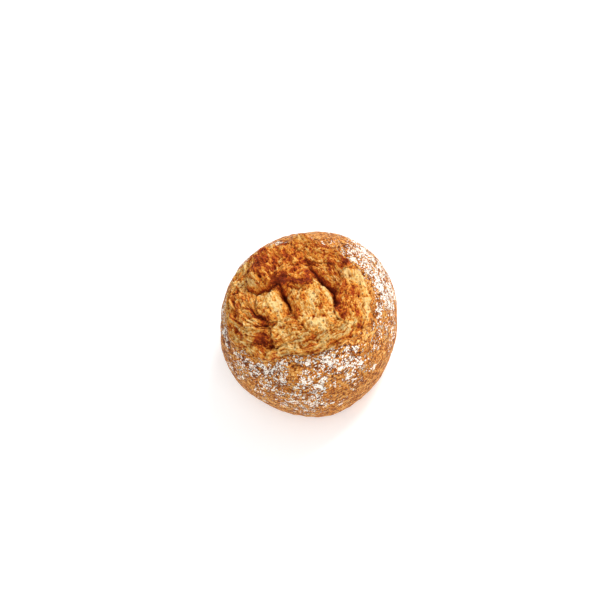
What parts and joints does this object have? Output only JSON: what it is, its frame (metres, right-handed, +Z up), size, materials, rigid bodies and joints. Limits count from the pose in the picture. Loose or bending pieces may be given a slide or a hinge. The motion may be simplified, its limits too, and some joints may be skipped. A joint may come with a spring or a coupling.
{
  "type": "bread roll",
  "caption": "Round rustic wheat roll with a flour-dusted bellied crust, a flat base and a burst crown of torn, overlapping folds.",
  "frame": {"origin": "middle of the roll's footprint, on the surface that it stands on", "axes": "+Z up through the burst crown, -Y towards the front of the crown, +X to the right seen from the front"},
  "size_m": [0.0958, 0.0978, 0.0653],
  "materials": {
    "crust": "matt baked crust, golden brown with paler torn crumb and a dusting of flour"
  },
  "bodies": {
    "root": {"bread_roll": "crust"}
  },
  "joints": []
}
